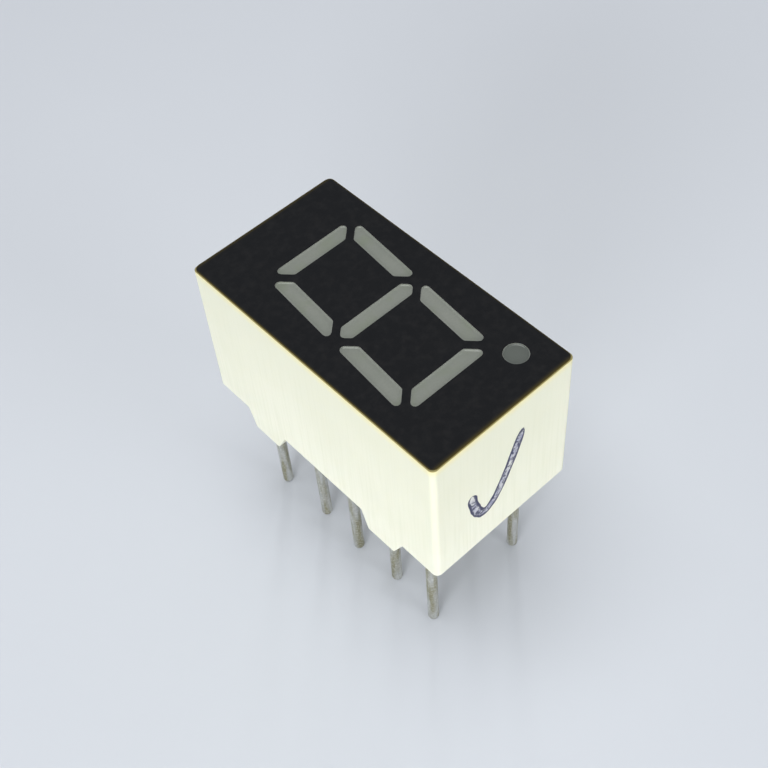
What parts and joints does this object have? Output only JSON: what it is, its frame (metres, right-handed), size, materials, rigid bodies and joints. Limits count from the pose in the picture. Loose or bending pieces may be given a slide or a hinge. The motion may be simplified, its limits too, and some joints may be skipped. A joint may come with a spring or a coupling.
{
  "type": "seven segment display",
  "caption": "LED numeric display with a black face, slanted grey segments and a decimal point, in a white reflector housing with standoffs and two rows of round pins.",
  "frame": {"origin": "centre of the pin pattern, on the plane of the standoffs' tips, where the host board's surface lies", "axes": "+Z from the host board to the viewing face; +Y to the top of the digit; +X to the digit's right, the side of the decimal point"},
  "size_m": [0.0074, 0.014, 0.0149],
  "materials": {
    "white_polycarbonate": "moulded, fine satin",
    "black_ink": "printed, matt",
    "diffused_resin": "cast, satin",
    "glass_epoxy_board": "laminate",
    "copper": "etched",
    "led_chip": "sawn",
    "silver_adhesive": "cured",
    "gold_wire": "drawn",
    "tinned_steel": "dull hot-dipped tin",
    "solder": "wetted"
  },
  "bodies": {
    "root": {"reflector_housing": "white_polycarbonate", "face_ink": "black_ink", "encapsulant": "diffused_resin", "circuit_board": "glass_epoxy_board", "component_side_copper": "copper", "solder_side_lands": "copper", "led_chip_a": "led_chip", "led_chip_b": "led_chip", "led_chip_c": "led_chip", "led_chip_d": "led_chip", "led_chip_e": "led_chip", "led_chip_f": "led_chip", "led_chip_g": "led_chip", "led_chip_dp": "led_chip", "die_bond_a": "silver_adhesive", "die_bond_b": "silver_adhesive", "die_bond_c": "silver_adhesive", "die_bond_d": "silver_adhesive", "die_bond_e": "silver_adhesive", "die_bond_f": "silver_adhesive", "die_bond_g": "silver_adhesive", "die_bond_dp": "silver_adhesive", "bond_wire_a": "gold_wire", "bond_wire_b": "gold_wire", "bond_wire_c": "gold_wire", "bond_wire_d": "gold_wire", "bond_wire_e": "gold_wire", "bond_wire_f": "gold_wire", "bond_wire_g": "gold_wire", "bond_wire_dp": "gold_wire", "pin_1": "tinned_steel", "pin_2": "tinned_steel", "pin_3": "tinned_steel", "pin_4": "tinned_steel", "pin_5": "tinned_steel", "pin_6": "tinned_steel", "pin_7": "tinned_steel", "pin_8": "tinned_steel", "pin_9": "tinned_steel", "pin_10": "tinned_steel", "solder_joint_1": "solder", "solder_joint_2": "solder", "solder_joint_3": "solder", "solder_joint_4": "solder", "solder_joint_5": "solder", "solder_joint_6": "solder", "solder_joint_7": "solder", "solder_joint_8": "solder", "solder_joint_9": "solder", "solder_joint_10": "solder"}
  },
  "joints": []
}
